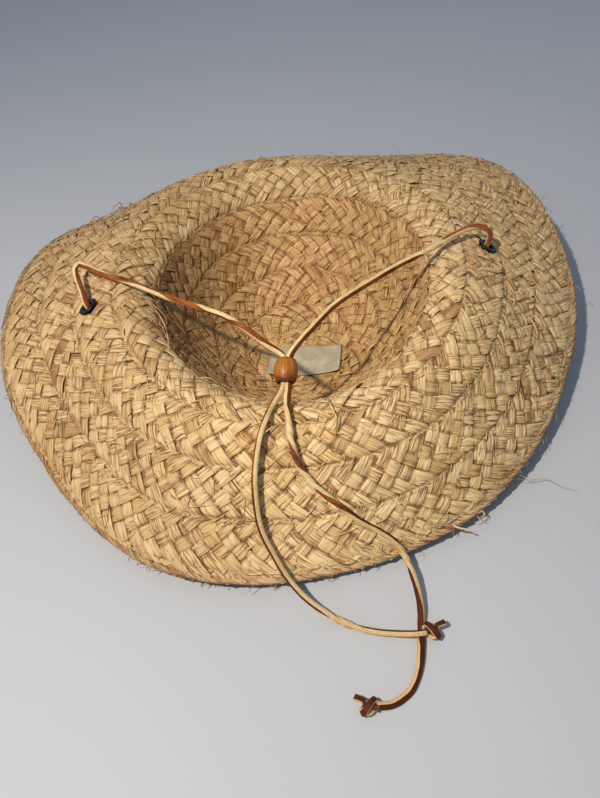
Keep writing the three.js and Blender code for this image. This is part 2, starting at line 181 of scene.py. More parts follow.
HELD_LEFT_END = [[-120.2, -10.5, 67.7], [-119, -10.2, 63.6], [-109, -5, 57], [-97, 5, 52]]
HELD_RIGHT_END = [[100, -5, 56], [110, -8, 58.5], [116.6, -9.6, 60.4], [118.3, -9.9, 63.7]]

# How the laces twist, as seen from SEEN_FROM: 0 shows the brown grain, positive turns it to the left of the
# way that the lace runs, and 180 shows the cream flesh side. Each pair is a share of the length and degrees
SEEN_FROM = [-10.6, -346.0, 317.6]
LEFT_ROLL = [
    (0, -28), (0.055, -28), (0.07, -62), (0.09, -68), (0.105, -38), (0.14, -32), (0.165, 0), (0.19, 35),
    (0.215, 74), (0.26, 72), (0.285, 12), (0.32, 5), (0.345, -74), (0.39, -72), (0.41, 22), (0.45, 28),
    (0.47, 70), (0.49, 70), (0.525, 284), (0.6, 282), (0.68, 289), (0.868, 289), (0.883, 270),
    (0.908, 92), (0.925, 76), (1, 75),
]
RIGHT_ROLL = [
    (0, 350), (0.045, 345), (0.06, 302), (0.115, 298), (0.14, 180), (0.165, 60), (0.2, 48), (0.43, 46),
    (0.47, 46), (0.515, 52), (0.53, 80), (0.543, 100), (0.552, 180), (0.562, 270), (0.572, 300),
    (0.582, 335), (0.598, 380), (0.606, 420), (0.614, 470), (0.622, 540), (0.63, 640), (0.648, 662),
    (0.662, 700), (0.675, 740), (0.69, 785), (0.765, 794), (0.785, 900), (0.8, 1010), (0.83, 1030),
    (0.855, 1058), (0.878, 1065), (0.9, 1120), (0.93, 1132), (1, 1120),
]
HELD_ROLL = [(0, 0), (1, 0)]
KNOT_STRAP_WIDTH = 2.9
KNOT_STRAP_THICKNESS = 1.5
KNOT_MARKS_FROM = 300.0

# Single loose straws that the photograph shows: radius, then points on the brim by direction, run and height
LOOSE_ON_BRIM = [
    (0.45, [[188, 3, 0.3], [193, 2.5, 2.8], [199, 3, 4.2], [205, 4, 3.2], [211, 6.5, 0.4]]),
    (0.3, [[186, 4, 0.3], [190, 2, 3.4], [195, 0.5, 4.6], [201, 1.5, 2.2], [206, 3, 0.2]]),
    (0.75, [[350, 30, 0.2], [349, 34, 1.9], [348.2, 41, 2.9], [347.2, 45.5, 3], [345.6, 44.5, 2.8],
            [344.4, 39, 1.9], [343.6, 33, 0.2]]),
    (0.4, [[140, 70, 0.3], [139, 67, 3.4], [137, 66, 4.6], [135.5, 69, 3.8], [135, 73, 0.4]]),
    (0.35, [[146, 76, 0.2], [145, 73, 3.2], [143.5, 72, 3.9], [142, 75, 0.3]]),
]
# The same for those past the brim's edge, by position
LOOSE_PAST_EDGE = [
    (0.16, [[98.4, -135.1, 12], [108.3, -138.8, 6], [116.6, -139.1, 5], [123.2, -145.1, 4],
            [128.4, -147.5, 3], [130.9, -150.2, 1.5]]),
    (0.14, [[96.3, -138.6, 11], [108, -138.7, 5], [117.1, -137.8, 2], [120.6, -139.1, 1]]),
    (0.6, [[54.1, -156, 11], [61.5, -161.7, 9], [65.8, -163.1, 8], [69.5, -165, 6]]),
    (0.3, [[69.2, -152.9, 11], [72.8, -155.4, 9], [76.6, -154.9, 9], [77.1, -156.9, 8], [74.3, -157.5, 8]]),
    (0.3, [[71.5, -152.1, 11], [74.7, -153.3, 7], [77.3, -155, 7], [75, -157.6, 6], [77.4, -158.7, 5]]),
    (0.25, [[65.3, -155.2, 11], [69.6, -155.9, 7], [73, -155.4, 7], [74.6, -157.5, 5], [71.3, -158.1, 5]]),
]

# Camera at the photograph's place, before HAT_PLACE is added to its target
CAMERA_TARGET = [-6.96, -93.3, 50.0]
CAMERA_AZIMUTH = 1.3
CAMERA_ELEVATION = 47.49
CAMERA_DISTANCE = 363.0
CAMERA_ROLL = -8.6
CAMERA_LENS = 30.757

# Light
KEY_DIRECTION = [-0.42, -0.48, 1.0]
KEY_DISTANCE = 0.9
KEY_WATTS = 7.8
KEY_SIZE = 0.035
KEY_COLOUR = (1.0, 0.91, 0.79)
SKY_COLOUR = (0.63, 0.79, 1.0)
SKY_STRENGTH = 0.42

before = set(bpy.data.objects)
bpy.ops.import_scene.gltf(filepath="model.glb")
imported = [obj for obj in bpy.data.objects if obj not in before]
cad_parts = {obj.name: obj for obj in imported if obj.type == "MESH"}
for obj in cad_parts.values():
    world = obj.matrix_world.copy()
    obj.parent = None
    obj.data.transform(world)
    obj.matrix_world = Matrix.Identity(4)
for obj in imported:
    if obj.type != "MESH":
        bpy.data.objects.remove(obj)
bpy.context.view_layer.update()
random = np.random.default_rng(SEED)


def unit(vectors):
    """The same vectors at length one."""
    return vectors / np.maximum(np.linalg.norm(vectors, axis=-1, keepdims=True), 1e-9)


def lengths_along(line):
    """The length from a line's start to each of its points."""
    return np.concatenate([[0], np.cumsum(np.linalg.norm(np.diff(line, axis=0), axis=1))])


def smooth_step(share):
    return share ** 2 * (3 - 2 * share)


def grid_faces(rows, columns, closed_rows=False, closed_columns=False):
    """Quads of a grid of points, stored row after row. It may close on itself either way."""
    i, j = np.indices((rows - (not closed_rows), columns - (not closed_columns))).reshape(2, -1)
    following, beside = (i + 1) % rows * columns, (j + 1) % columns
    return np.stack([i * columns + j, following + j, following + beside, i * columns + beside], axis=1)


def around(values, degrees):
    """Smooth closed curve through values spaced evenly round the hat (Catmull-Rom)."""
    values = np.asarray(values, float)
    place = np.mod(degrees, 360) / 360 * len(values)
    cell = np.floor(place).astype(int)
    t = place - cell
    before, start, end, after = (values[(cell + k) % len(values)] for k in (-1, 0, 1, 2))
    return 0.5 * (2 * start + (end - before) * t
                  + (2 * before - 5 * start + 4 * end - after) * t ** 2
                  + (3 * start - before - 3 * end + after) * t ** 3)


def bowl_profile():
    """Run down the bowl's wall, with the radius there as a share of the head line and the drop below it."""
    runs = np.linspace(0, BOWL_RUNS[-1], 401)
    middles = (runs[1:] + runs[:-1]) / 2
    slope = np.radians(np.interp(middles, BOWL_RUNS, BOWL_DEGREES))
    step = runs[1]
    share = np.concatenate([[1], 1 - np.cumsum(np.cos(slope) * step) / HEAD_HALF_LENGTH])
    drop = np.concatenate([[0], np.cumsum(np.sin(slope) * step)])
    centre = runs[-1] + share[-1] * HEAD_HALF_LENGTH
    return np.append(runs, centre), np.append(share, 0), np.append(drop, drop[-1])


BOWL_RUN, BOWL_SHARE, BOWL_DROP = bowl_profile()
BOWL_DEPTH = BOWL_DROP[-1]
GRID_DEGREES = np.arange(0, 361, 1.0)
GRID_STEP = 0.5
ROUND_HAT = np.linspace(0, 360, 721)


def head_line_height(degrees):
    angle = np.radians(degrees)
    return WALL + BOWL_DEPTH + SIDE_TILT * np.cos(angle) + SADDLE * np.cos(2 * angle)


def bowl_height(degrees, drop):
    """Height of the bowl's inner face where its profile has dropped by so much."""
    return WALL + (head_line_height(degrees) - WALL) * (1 - drop / BOWL_DEPTH)


def brim_slope(run, ridge_run, fall):
    """Slope in degrees: up the inner side, level on the ridge, then falling to the edge."""
    inner = HEAD_LINE_ANGLE * (1 - np.clip(run / ridge_run, 0, 1) ** 1.3)
    past = np.maximum(run - ridge_run, 0)
    return inner - fall * (1 - np.exp(-past / DROOP_RUN)) - EDGE_CURL_DEGREES * past / CURL_RUN


def brim_positions():
    """Upper face of the brim on a grid of directions and runs."""
    degrees = GRID_DEGREES[:, None]
    runs = np.arange(0, BRIM_RUN + EDGE_WIDTH + 4, GRID_STEP)[None, :]
    stretch = around(STRETCH, degrees)
    middle = np.radians(brim_slope((runs[:, 1:] - GRID_STEP / 2) * stretch,
                                   around(RIDGE_RUN, degrees), around(FALL_DEGREES, degrees)))
    reach, rise = (np.hstack([np.zeros_like(degrees), np.cumsum(part * GRID_STEP * stretch, axis=1)])
                   for part in (np.cos(middle), np.sin(middle)))
    angle = np.radians(degrees)
    outward = unit(np.stack([HEAD_HALF_LENGTH * np.cos(angle), HEAD_HALF_WIDTH * np.sin(angle)], axis=-1))
    x = HEAD_HALF_WIDTH * np.cos(angle) + outward[..., 0] * reach
    y = HEAD_HALF_LENGTH * np.sin(angle) + outward[..., 1] * reach
    return np.stack([x, y, head_line_height(degrees) + rise], axis=-1)


def bowl_positions():
    """Inner face of the bowl on a grid of directions and runs, to the middle of the tip."""
    degrees = GRID_DEGREES[:, None]
    runs = np.arange(0, BOWL_RUN[-1], GRID_STEP)[None, :]
    share = np.interp(runs, BOWL_RUN, BOWL_SHARE)
    drop = np.interp(runs, BOWL_RUN, BOWL_DROP)
    angle = np.radians(degrees)
    return np.stack([HEAD_HALF_WIDTH * np.cos(angle) * share, HEAD_HALF_LENGTH * np.sin(angle) * share,
                     bowl_height(degrees, drop)], axis=-1)


def with_normals(positions):
    """The grid and its unit normals, on the side that faces up or into the bowl."""
    turned = np.concatenate([positions[-2:-1], positions, positions[1:2]])
    normals = np.cross(turned[2:] - turned[:-2], np.gradient(positions, axis=1))
    return positions + HAT_PLACE, unit(normals * np.sign(normals[..., 2:3]))


SURFACES = {"brim": with_normals(brim_positions()), "crown": with_normals(bowl_positions())}


def on_surface(kind, degrees, run, lift):
    """Points at a direction and run of the brim or crown, lifted along the normal from its upper face."""
    degrees, run, lift = np.broadcast_arrays(degrees, run, lift)
    positions, normals = SURFACES[kind]
    row = np.mod(degrees, 360)
    column = np.clip(run / GRID_STEP, 0, positions.shape[1] - 1.001)
    i, j = row.astype(int), column.astype(int)
    a, b = (row - i)[..., None], (column - j)[..., None]

    def blended(grid):
        near = grid[i, j] * (1 - b) + grid[i, j + 1] * b
        far = grid[i + 1, j] * (1 - b) + grid[i + 1, j + 1] * b
        return near * (1 - a) + far * a

    return blended(positions) + unit(blended(normals)) * lift[..., None]


def new_piece(name, vertices, faces, materials, smooth=True):
    """A mesh object from millimetre vertices."""
    mesh = bpy.data.meshes.new(name)
    mesh.from_pydata((np.asarray(vertices, float) * MM).tolist(), [], np.asarray(faces).tolist())
    for material in materials:
        mesh.materials.append(material)
    if smooth:
        mesh.shade_smooth()
    piece = bpy.data.objects.new(name, mesh)
    bpy.context.scene.collection.objects.link(piece)
    return piece


def finish_piece(piece, slot, *nodes):
    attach(piece, "root")
    if nodes:
        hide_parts(*nodes)
    return piece


def add_attribute(piece, name, values):
    kind, key = ("FLOAT", "value") if values.ndim == 1 else ("FLOAT_VECTOR", "vector")
    attribute = piece.data.attributes.new(name=name, type=kind, domain="POINT")
    attribute.data.foreach_set(key, np.ascontiguousarray(values, np.float32).ravel())


# Materials

# Painted shade for the fine creases along the strands
CREASE_SHADE = (0.34, 0.21, 0.13)
WHITE = (1, 1, 1)
BLACK = (0, 0, 0)

# The Mix node's sockets for colours
MIX_FACTOR = 0
MIX_FIRST = 6
MIX_SECOND = 7
MIX_RESULT = 2


def new_material(name, roughness, **sockets):
    material = bpy.data.materials.new(name)
    material.use_nodes = True
    shader = material.node_tree.nodes["Principled BSDF"]
    shader.inputs["Roughness"].default_value = roughness
    for socket, value in sockets.items():
        shader.inputs[socket.replace("_", " ")].default_value = value
    return material, material.node_tree


def add_node(tree, kind, inputs, **settings):
    """A node with its settings, and with its inputs set to a value or linked to another node's output."""
    node = tree.nodes.new(kind)
    for key, value in settings.items():
        setattr(node, key, value)
    for socket, value in inputs.items():
        if isinstance(value, bpy.types.NodeSocket):
            tree.links.new(value, node.inputs[socket])
        else:
            node.inputs[socket].default_value = value
    return node


def ramp(tree, source, stops):
    node = add_node(tree, "ShaderNodeValToRGB", {"Fac": source})
    elements = node.color_ramp.elements
    while len(elements) < len(stops):
        elements.new(0.5)
    for element, (place, colour) in zip(elements, stops):
        element.position = place
        element.color = (*colour, 1)
    return node.outputs["Color"]


def mixed(tree, blend, factor, first, second):
    inputs = {MIX_FACTOR: factor, MIX_FIRST: first, MIX_SECOND: second}
    return add_node(tree, "ShaderNodeMix", inputs, data_type="RGBA", blend_type=blend).outputs[MIX_RESULT]


def multiplied(tree, base, source, stops, factor=1.0):
    """The base colour times a ramp of the source."""
    return mixed(tree, "MULTIPLY", factor, base, ramp(tree, source, stops))


def attribute_of(tree, name, output="Fac"):
    return add_node(tree, "ShaderNodeAttribute", {}, attribute_name=name).outputs[output]


def noise(tree, source, stretch, detail, roughness):
    """Noise over coordinates that are multiplied by stretch first."""
    stretched = add_node(tree, "ShaderNodeVectorMath", {0: source, 1: stretch}, operation="MULTIPLY")
    inputs = {"Vector": stretched.outputs["Vector"], "Scale": 1.0, "Detail": detail, "Roughness": roughness}
    return add_node(tree, "ShaderNodeTexNoise", inputs).outputs["Fac"]


def along_fibre(tree, fibre, low, high, top=1.0):
    """From 0 to top as the distance along the fibre goes from low to high."""
    apart = add_node(tree, "ShaderNodeSeparateXYZ", {0: fibre})
    inputs = {"Value": apart.outputs["Y"], "From Min": low, "From Max": high, "To Max": top}
    return add_node(tree, "ShaderNodeMapRange", inputs).outputs["Result"]


def surfaced(material, colour, height=None, strength=0.0, distance=0.0):
    """The material with its colour linked in and, where there is a height, its bump in metres."""
    tree = material.node_tree
    inputs = tree.nodes["Principled BSDF"].inputs
    tree.links.new(colour, inputs["Base Color"])
    if height is not None:
        values = {"Strength": strength, "Distance": distance, "Height": height}
        bump = add_node(tree, "ShaderNodeBump", values)
        tree.links.new(bump.outputs["Normal"], inputs["Normal"])
    return material


def straw_material(name, pale, middle, warm, crevice_shade):
    """Raffia: each strand has its own tint, fine fibres run along it, and its low parts and fine creases get
    painted shade.
    """
    material, tree = new_material(name, 0.6, Specular_IOR_Level=0.3)
    fibre = attribute_of(tree, "fibre", "Vector")
    streaks = noise(tree, fibre, (1.3, 0.045, 1), 3.0, 0.65)
    creases = noise(tree, fibre, (0.62, 0.03, 1.7), 2.0, 0.55)
    patches = noise(tree, fibre, (0.25, 0.12, 3.1), 2.0, 0.5)
    coarse = noise(tree, fibre, (0.05, 0.02, 7.3), 1.0, 0.5)
    tint = ramp(tree, attribute_of(tree, "tint"),
                [(0.0, warm), (0.05, middle), (0.3, pale), (0.72, pale), (1.0, middle)])
    patchy = ramp(tree, patches, [(0.46, BLACK), (0.78, (0.9, 0.9, 0.9))])
    patched = mixed(tree, "MIX", patchy, tint, (*middle, 1))
    lines = ramp(tree, coarse, [(0.42, (0.55, 0.55, 0.55)), (0.56, WHITE)])
    streaked = multiplied(tree, patched, streaks, [(0.3, (0.54, 0.42, 0.31)), (0.42, (0.93, 0.9, 0.85)),
                                                   (0.62, (1.08, 1.08, 1.08))], lines)
    # Painted shade in the fine creases along each strand
    lined = multiplied(tree, streaked, creases, [(0.43, WHITE), (0.47, CREASE_SHADE), (0.49, CREASE_SHADE), (0.53, WHITE),
                                                 (0.6, WHITE), (0.63, CREASE_SHADE), (0.66, WHITE)], lines)
    # Darker towards the far side and the sides, and painted shade on the bowl's left wall
    darkened_straw = multiplied(tree, lined, attribute_of(tree, "darkened"), [(0.0, WHITE), (1.0, (0.4, 0.34, 0.3))])
    # Painted shade: parts with a low height value take the dark crevice colour
    depth = ramp(tree, attribute_of(tree, "height"), [(0.2, WHITE), (0.7, BLACK)])
    relief = mixed(tree, "MIX", 0.4, streaks, creases)
    return surfaced(material, mixed(tree, "MIX", depth, darkened_straw, (*crevice_shade, 1)), relief, 1.0, 0.0008)


def leather_material(name, colour, worn, roughness):
    """Leather in blotches of two tones, with more of the second one towards the laces' free ends."""
    material, tree = new_material(name, roughness, Specular_IOR_Level=0.12)
    fibre = attribute_of(tree, "fibre", "Vector")
    mottle = noise(tree, fibre, (0.25, 0.07, 0.2), 4.0, 0.75)
    pores = noise(tree, fibre, (3.0, 2.0, 1), 2.0, 0.6)
    wear = add_node(tree, "ShaderNodeMath", {0: mottle, 1: along_fibre(tree, fibre, *WORN_ALONG, top=0.3)},
                    operation="ADD")
    blotches = ramp(tree, wear.outputs["Value"], [(0.42, BLACK), (0.68, WHITE)])
    toned = mixed(tree, "MIX", blotches, (*colour, 1), (*worn, 1))
    specked = multiplied(tree, toned, pores, [(0.25, (0.6, 0.52, 0.45)), (0.5, WHITE)])
    return surfaced(material, specked, pores, 0.5, 0.0003)


def wood_material():
    material, tree = new_material("bead_wood", 0.45, Specular_IOR_Level=0.3, Coat_Weight=0.08,
                                  Coat_Roughness=0.25)
    fibre = attribute_of(tree, "fibre", "Vector")
    grain = noise(tree, fibre, (1.4, 0.12, 1.4), 3.0, 0.6)
    cloud = noise(tree, fibre, (0.15, 0.15, 0.15), 1.0, 0.5)
    colour = ramp(tree, grain, [(0.3, (0.2, 0.055, 0.004)), (0.5, (0.38, 0.125, 0.009)),
                                (0.72, (0.46, 0.17, 0.015))])
    clouded = multiplied(tree, colour, cloud, [(0.3, (0.8, 0.75, 0.7)), (0.6, WHITE)])
    # Painted shade: darker towards the bead's lower end
    lower_end_shaded = multiplied(tree, clouded, along_fibre(tree, fibre, -BEAD_LENGTH / 2, BEAD_LENGTH / 2),
                         [(0.04, (0.32, 0.2, 0.16)), (0.22, (0.8, 0.7, 0.66)), (0.45, WHITE)])
    return surfaced(material, lower_end_shaded, grain, 0.15, 0.0001)


def metal_material():
    material, tree = new_material("eyelet_metal", 0.38, Metallic=0.6)
    place = add_node(tree, "ShaderNodeTexCoord", {}).outputs["Object"]
    wear = noise(tree, place, (900, 900, 900), 3.0, 0.6)
    colour = ramp(tree, wear, [(0.3, (0.006, 0.006, 0.007)), (0.6, (0.014, 0.014, 0.016)),
                               (0.8, (0.07, 0.065, 0.06))])
    return surfaced(material, colour, wear, 0.2, 0.0001)


def label_material():
    material, tree = new_material("label_cloth", 0.85, Sheen_Weight=0.2)
    fibre = attribute_of(tree, "fibre", "Vector")
    threads = noise(tree, fibre, (3.2, 9.0, 1), 1.0, 0.5)
    # Painted sheen: paler and darker patches across the cloth
    sheen_patches = noise(tree, fibre, (0.12, 0.12, 1), 3.0, 0.6)
    ground = ramp(tree, sheen_patches, [(0.3, (0.35, 0.28, 0.17)), (0.5, (0.46, 0.39, 0.26)),
                                (0.72, (0.55, 0.48, 0.35))])
    woven = multiplied(tree, ground, threads, [(0.3, (0.78, 0.78, 0.76)), (0.55, WHITE)])
    return surfaced(material, woven, threads, 0.5, 0.0003)


def floor_material():
    material, tree = new_material("floor_paint", 0.55, Specular_IOR_Level=0.25)
    cloud = noise(tree, add_node(tree, "ShaderNodeTexCoord", {}).outputs["Object"], (2.2, 2.2, 2.2), 2.0, 0.5)
    return surfaced(material, ramp(tree, cloud, [(0.3, (0.42, 0.43, 0.45)), (0.7, (0.45, 0.455, 0.47))]))


# The plait, laid out flat and then wrapped on the hat

def crossing_wave(place):
    """Height of the first family of strands, from -1 to 1, by crossings counted from the row's outer seam."""
    last = STRANDS - 1
    wave = np.cos(np.pi * (place - last))
    wave = np.where(place < 1, wave_at_seam(place) * math.cos(math.pi * (1 - last)), wave)
    wave = np.where(place > last, wave_at_seam(STRANDS - place), wave)
    return np.sign(wave) * np.abs(wave) ** 0.5


def wave_at_seam(place):
    return np.sin(np.pi / 2 * np.clip(place, 0, 1))


def section(top_count, bottom_count):
    """Points round a strand's section: x across it from -1 to 1, and 1 above or -1 below."""
    top = np.linspace(-1, 1, top_count)
    bottom = np.linspace(1, -1, bottom_count + 2)[1:-1]
    x = np.concatenate([top, bottom])
    side = np.concatenate([np.ones(top_count), -np.ones(bottom_count)])
    side[[0, top_count - 1]] = 0
    return x, side


def grooves(x, w, count):
    """Depth of a few grooves that wander along each strand between its bundles of fibre."""
    total = np.zeros((count, w.shape[-1], len(x)))
    for _ in range(GROOVES):
        centre = random.uniform(-0.85, 0.85, (count, 1, 1))
        drift = random.normal(0, 0.011, (count, 1, 1)) * w[..., None]
        depth = random.uniform(0.15, 0.75, (count, 1, 1))
        total += depth * np.exp(-((x - centre - drift) / 0.1) ** 2)
    return np.clip(total, 0, 0.9)


def strand_marks(across, along):
    """Fibre coordinates with a seed for each strand, and a tint for each strand."""
    seeds = random.uniform(0, 200, (len(across), 1, 1))
    fibre = np.stack(np.broadcast_arrays(across, along, seeds), axis=-1)
    return fibre, np.broadcast_to(random.uniform(0, 1, (len(across), 1, 1)), across.shape)


def plait_strands(length, width, scale, section_counts, outer_reach):
    """Every strand of one closed row. t runs along the row and w from its outer seam to its inner one.
    Returns flat points with shape (strand, sample, section, 3), fibre coordinates, tints and heights; a low
    height gets painted shade."""
    cells = max(5, round(length / (2 * width / STRANDS)))
    pitch = length / cells
    count = 2 * cells
    at_edge = outer_reach > 0
    family = np.repeat([1.0, -1.0], cells)[:, None]
    w = np.tile(np.array(STRAND_STOPS) * width / STRANDS, (count, 1))
    w[:, 0] = -SEAM_OVERLAP * scale * random.uniform(*OVERLAP_SPREAD, count) - outer_reach
    w[:, -1] = width + SEAM_OVERLAP * scale * random.uniform(*OVERLAP_SPREAD, count)
    starts = np.tile(np.arange(cells) * pitch, 2)[:, None]
    starts = starts + random.normal(0, START_SPREAD * scale, (count, 1))
    lean = 1 + random.normal(0, LEAN_SPREAD, (count, 1))
    bow = random.normal(0, BOW_SPREAD * scale, (count, 1)) * np.sin(np.pi * w / width)
    sway = random.normal(0, SWAY_SPREAD * scale, (count, 1))
    sway = sway * np.sin(2 * np.pi * w / width + random.uniform(0, 6, (count, 1)))
    t = starts + family * (w / width * STRANDS / 2 * pitch * lean) + bow + sway
    place = np.clip(w / width * STRANDS, 0, STRANDS)
    rise = CROSSING_HEIGHT * scale * random.uniform(*RISE_SPREAD, (count, 1))
    z = family * crossing_wave(place) * rise + random.normal(0, HEIGHT_SPREAD * scale, (count, 1))
    at_outer_seam = np.exp(-(w / SEAM_REACH / scale) ** 2) * (not at_edge)
    at_inner_seam = np.exp(-((width - w) / SEAM_REACH / scale) ** 2)
    z = z - SEAM_VALLEY * scale * (at_outer_seam + at_inner_seam)
    z = z - EDGE_DROP * np.clip(-w / EDGE_OVERLAP, 0, 1.5) ** 2 * (family > 0) * at_edge

    from_end = np.minimum(w - w[:, :1], w[:, -1:] - w) / scale
    full = np.clip((from_end + at_edge * (w < width / 2)) / TAPER_LENGTH, 0, 1)
    taper = TAPER_TO + (1 - TAPER_TO) * np.sin(np.pi / 2 * full)
    half = STRAND_HALF_WIDTH * scale * random.uniform(*WIDTH_SPREAD, (count, 1)) * taper
    swell = np.sin(w / width * random.uniform(3, 14, (count, 1)) + random.uniform(0, 6, (count, 1)))
    half = half * (1 + SWELL * swell)
    thin = np.clip(from_end / THIN_LENGTH, 0, 1) ** 0.5
    dt, dw = np.gradient(t, axis=1), np.gradient(w, axis=1)
    long = np.hypot(dt, dw)
    square = smooth_step(np.clip(np.minimum(place, STRANDS - place) / SQUARE_CUT_LENGTH, 0, 1))
    reach_t = half * (square * dw / long + (1 - square) * long / dw)
    reach_w = -half * square * dt / long

    x, side = section(*section_counts)
    dips = grooves(x, w, count)
    thickness = STRAND_HALF_THICKNESS * scale * (1 - 0.7 * dips) * (1 - np.abs(x) ** 4) ** 0.5
    roll = random.normal(0, ROLL_SPREAD, (count, 1, 1))
    roll = roll + random.normal(0, TWIST_SPREAD, (count, 1, 1)) * np.sin(w[..., None])
    across = half[..., None] * x
    points = np.stack([
        t[..., None] + reach_t[..., None] * x,
        w[..., None] + reach_w[..., None] * x,
        z[..., None] + thickness * thin[..., None] * side + across * roll,
    ], axis=-1)
    along = np.cumsum(long, axis=1)[..., None] + across * ((1 - square) * dt / long)[..., None]
    fibre, tint = strand_marks(across, along)
    # A low value here gets painted shade: the lower strand at each crossing, strand edges and grooves
    level = np.abs(z)[..., None] / (CROSSING_HEIGHT * scale)
    level = np.maximum(level, at_edge * np.clip(1 - w / 5, 0, 0.75)[..., None])
    top = np.clip(0.35 + 0.65 * level, 0, 1) - 0.45 * np.abs(x) ** 9 - 0.55 * dips
    return points, fibre, tint, top


def ring_faces(strand_count, samples, around_count):
    """Quads of tubes laid out as (strand, sample, section), with each quad's place for the UV map."""
    strand, i, j = np.indices((strand_count, samples - 1, around_count)).reshape(3, -1)
    steps = ((0, 0), (0, 1), (1, 1), (1, 0))
    corners = np.stack([np.stack([i + along, j + across], axis=1) for along, across in steps], axis=1)
    ring = strand[:, None] * samples + corners[..., 0]
    return ring * around_count + corners[..., 1] % around_count, strand, corners


def add_strip_map(piece, strand, corners, samples, around_count):
    """A UV map with one small rectangle for each strand."""
    count = strand.max() + 1
    columns = math.ceil(math.sqrt(count * around_count / samples * 2))
    rows = math.ceil(count / columns)
    margin = 0.06
    inside = margin + (1 - 2 * margin) * corners / [samples - 1, around_count]
    u = (strand[:, None] % columns + inside[..., 0]) / columns
    v = (strand[:, None] // columns + inside[..., 1]) / rows
    layer = piece.data.uv_layers.new(name="OFBake")
    layer.data.foreach_set("uv", np.stack([u, v], axis=-1).astype(np.float32).ravel())


def seam_wobble(name, degrees):
    """A seam's slow wander in millimetres, the same for both rows that meet there."""
    total = np.zeros_like(degrees)
    if name in ("brim 0", "crown 0", "crown 104"):
        return total
    own = np.random.default_rng(sum(map(ord, name)))
    for turns in (2, 3, 5, 8, 13):
        size = own.normal(0, 1) / math.sqrt(turns)
        total += size * np.sin(turns * np.radians(degrees) + own.uniform(0, 6.28))
    return SEAM_WOBBLE * total


def row_mapping(kind, outer_run, inner_run):
    """How a flat row lies on the hat: its length on its middle line, its width, and a function from t, w
    and height to points."""
    lengths = lengths_along(on_surface(kind, ROUND_HAT, (outer_run + inner_run) / 2, 0))
    width = abs(outer_run - inner_run)
    other = "crown" if kind == "brim" else "brim"

    def wrap(points):
        t, w, z = points[..., 0], points[..., 1], points[..., 2]
        turn = np.interp(np.mod(t, lengths[-1]), lengths, ROUND_HAT)
        outer = outer_run + seam_wobble(f"{kind} {outer_run:g}", turn)
        inner = inner_run + seam_wobble(f"{kind} {inner_run:g}", turn)
        run = outer + (inner - outer) * w / width
        on_row = on_surface(kind, turn, np.maximum(run, 0), z - WALL / 2)
        past_head_line = on_surface(other, turn, np.maximum(-run, 0), z - WALL / 2)
        return np.where((run < 0)[..., None], past_head_line, on_row)

    return lengths[-1], width, wrap


def clear_of_eyelets(points):
    """True for the points outside the two round holes."""
    keep = np.ones(len(points), bool)
    for direction in EYELET_DIRECTIONS.values():
        centre, normal = eyelet_axis(direction)
        offset = points - centre
        axial = offset @ normal
        radial = np.linalg.norm(offset - axial[:, None] * normal, axis=1)
        keep &= (radial > EYELET_BORE + HOLE_MARGIN) | (np.abs(axial) > HOLE_DEPTH)
    return keep


def eyelet_axis(direction):
    low, high = (on_surface("brim", direction, EYELET_RUN, lift) for lift in (0.0, 1.0))
    return low, high - low


def plait_row(name, kind, outer_run, inner_run, material, slot, scale=1.0, section_counts=(13, 5)):
    length, width, wrap = row_mapping(kind, outer_run, inner_run)
    outer_reach = EDGE_OVERLAP if outer_run == BRIM_RUN else 0.0
    points, fibre, tint, top = plait_strands(length, width, scale, section_counts, outer_reach)
    return strand_piece(name, wrap(points), fibre, tint, top, material, slot)


def straw_darkening(vertices, in_crown):
    """How much the straw is darkened, from 0 to 1: most on the far left, and on the bowl's left wall, where
    it is painted shade.
    """
    x, y = vertices[:, 0], vertices[:, 1]
    shares = (-x / DARKEN_SIDES, x / DARKEN_SIDES, y / DARKEN_FAR)
    left, right, far = (smooth_step(np.clip(share, 0, 1)) for share in shares)
    if in_crown:
        # On the bowl's left wall this darkening is painted shade
        return np.clip(-x / DARKEN_BOWL, 0, 1) ** 1.5 + 0.18 * far + 0.3 * right
    return 0.38 * left + 0.34 * far + 0.16 * right


def strand_piece(name, points, fibre, tint, top, material, slot):
    """One mesh from many strands laid out as (strand, sample, section, 3)."""
    count, samples, around_count = points.shape[:3]
    vertices = points.reshape(-1, 3).copy()
    vertices[:, 2] = np.maximum(vertices[:, 2], LOWEST)
    faces, strand, corners = ring_faces(count, samples, around_count)
    kept = clear_of_eyelets(vertices[faces].mean(axis=1))
    piece = new_piece(name, vertices, faces[kept], [material])
    add_attribute(piece, "fibre", fibre.reshape(-1, 3))
    add_attribute(piece, "tint", tint.reshape(-1))
    # The height values set how much painted shade each part of the plait gets
    add_attribute(piece, "height", top.reshape(-1))
    add_attribute(piece, "darkened", straw_darkening(vertices, name.startswith("crown")))
    add_strip_map(piece, strand[kept], corners[kept], samples, around_count)
    return finish_piece(piece, slot)


def edge_frame(degrees):
    """The middle of the brim's rounded edge, with a step of one outward and one upward from it."""
    def at(run, lift):
        return on_surface("brim", degrees, EDGE_MIDDLE_RUN + run, lift - WALL / 2)

    centre = at(0, 0)
    return centre, at(1, 0) - centre, at(0, 1) - centre


